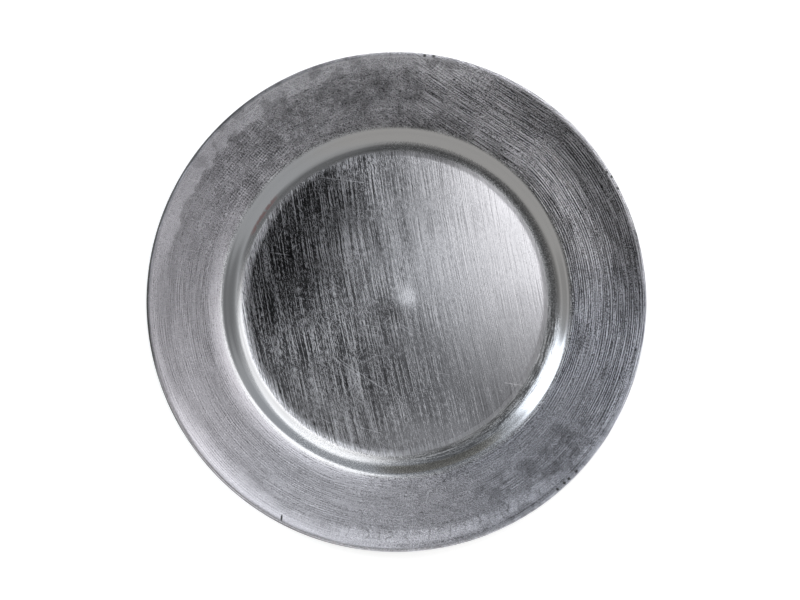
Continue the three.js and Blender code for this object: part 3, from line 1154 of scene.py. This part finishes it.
def flag(name, azimuth, reach, height, depth, breadth, steepness):
    """An oval black card that hangs over the plate and darkens what the plate mirrors there.

    It climbs outwards at its steepness, so that the far side of the well sees it edge-on.
    """
    oval = Matrix.Diagonal((depth / 2, breadth / 2, 1))
    outline = [oval @ Vector(turned(360 * i / CARD_SIDES)) for i in range(CARD_SIDES)]
    mesh = bpy.data.meshes.new(name)
    mesh.from_pydata(outline, [], [tuple(range(CARD_SIDES))])
    material, g = new_material("black_card")
    place = g.node("ShaderNodeTexCoord").outputs["Object"]
    felt = g.mix_colour(g.noise(place, *CARD_FELT), CARD_DARK, CARD_LIGHT)
    finish_surface(g, g.node("ShaderNodeBsdfDiffuse", None, Color=felt).outputs[0])
    mesh.materials.append(material)
    card = bpy.data.objects.new(name, mesh)
    bpy.context.scene.collection.objects.link(card)
    x, y, _ = turned(azimuth)
    card.location = (x * reach, y * reach, height)
    card.rotation_euler = (0, -math.radians(steepness), math.radians(azimuth))
    card.visible_camera = False


# Brightness of the room by height, as the sine of the angle above level: low, high, start and end.

WALLS = (0.71, 0.95, 0.76, 0.20)
CEILING = (0.94, 0.975, 0.0, 0.22)
CEILING_SHADE = (0.985, 0.997, 0.0, -0.14)

# Soft patches of the room, in degrees: place, radius and softness of the edge.

RoomPatch = namedtuple("RoomPatch", "azimuth from_zenith radius softness brightness")

ROOM_PATCHES = {
    "key_glow": RoomPatch(25, 6.4, 3.8, 5.4, 1.40),
    "dark_zenith": RoomPatch(250, 5.5, 3, 5, 0.13),
    "dark_overhead": RoomPatch(212, 29, 9, 10, 0.08),
    "dark_side": RoomPatch(180, 36, 12, 14, 0.27),
    "dark_corner": RoomPatch(105, 72, 14, 14, 0.26),
    "dark_gap": RoomPatch(116, 42, 10, 10, 0.3),
    "dark_wall": RoomPatch(0, 66, 12, 12, 0.36),
}

# The sides of the room that lamp light makes warmer and daylight makes cooler.

WARM_SIDE = 230
COOL_SIDE = 100
SIDE_FADE = (0.1, 0.6)
ROOM_TINT = (0.98, 1.0, 1.015, 1)
WARM_TINT = (1.02, 1.0, 0.96, 1)
COOL_TINT = (0.95, 1.0, 1.06, 1)


def room():
    world = bpy.data.worlds.new("room")
    world.use_nodes = True
    bpy.context.scene.world = world
    g = Graph(world.node_tree)
    towards = g.node("ShaderNodeTexCoord").outputs["Generated"]
    height = g.dot(towards, (0, 0, 1))
    level = g.add(g.ease(height, *WALLS), g.ease(height, *CEILING), g.ease(height, *CEILING_SHADE))
    for patch in ROOM_PATCHES.values():
        nearness = g.dot(towards, tuple(direction(patch.azimuth, patch.from_zenith)))
        full = math.cos(math.radians(patch.radius))
        gone = math.cos(math.radians(patch.radius + patch.softness))
        level = g.mix(g.ease(nearness, gone, full), level, patch.brightness)
    lamplit = g.ease(g.dot(towards, turned(WARM_SIDE)), *SIDE_FADE)
    daylit = g.ease(g.dot(towards, turned(COOL_SIDE)), *SIDE_FADE)
    tint = g.mix_colour(lamplit, ROOM_TINT, WARM_TINT)
    tint = g.mix_colour(daylit, tint, COOL_TINT)
    background = g.node("ShaderNodeBackground", None, Color=tint, Strength=level)
    output = g.node("ShaderNodeOutputWorld")
    g.put(output.inputs["Surface"], background.outputs[0])


# The camera looks straight down. One pixel of the 800 x 600 picture is 0.66 mm at the lip.

PLATE_PIXELS = 501
PIXEL = PLATE_DIAMETER / PLATE_PIXELS
IMAGE_WIDTH = 800
IMAGE_CENTRE = (399.5, 299.5)
PLATE_CENTRE = (395.94, 301.53)
CAMERA_DISTANCE = 1.5
SENSOR_WIDTH = 36
LIP_HEIGHT = leafed[-LIP_DROP_STEPS - 1].z


def camera():
    data = bpy.data.cameras.new("camera")
    data.sensor_width = SENSOR_WIDTH
    data.lens = SENSOR_WIDTH * CAMERA_DISTANCE / (IMAGE_WIDTH * PIXEL)
    seen_from = bpy.data.objects.new("camera", data)
    bpy.context.scene.collection.objects.link(seen_from)
    x = (IMAGE_CENTRE[0] - PLATE_CENTRE[0]) * PIXEL
    y = (PLATE_CENTRE[1] - IMAGE_CENTRE[1]) * PIXEL
    seen_from.location = (x, y, LIP_HEIGHT + CAMERA_DISTANCE)
    bpy.context.scene.camera = seen_from


camera()
white_floor()
room()
ceiling_panel("key", place=(0.95, 1.43, 1.9), long_towards=75, width=1.60, length=3.1, radiance=2.1)
window = softbox("window", azimuth=153, from_zenith=70, distance=2.0, width=0.95, height=2.6, radiance=3.4)
window.data.color = WINDOW_COLOUR
ceiling_panel("fill", place=(-0.036, -0.172, 0.5), long_towards=168, width=0.11, length=0.34, radiance=0.28)
flag("flag", azimuth=147, reach=0.2525, height=1.1, depth=1.05, breadth=0.46, steepness=72)

moulding = plate_moulding()
moulding.data.materials.append(plastic_material())
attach(moulding, "root")
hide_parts("plate_moulding")

leaf = silver_leaf()
leaf.data.materials.append(leaf_material())
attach(leaf, "root")
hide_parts("silver_leaf")

bpy.context.scene.view_settings.view_transform = "Standard"
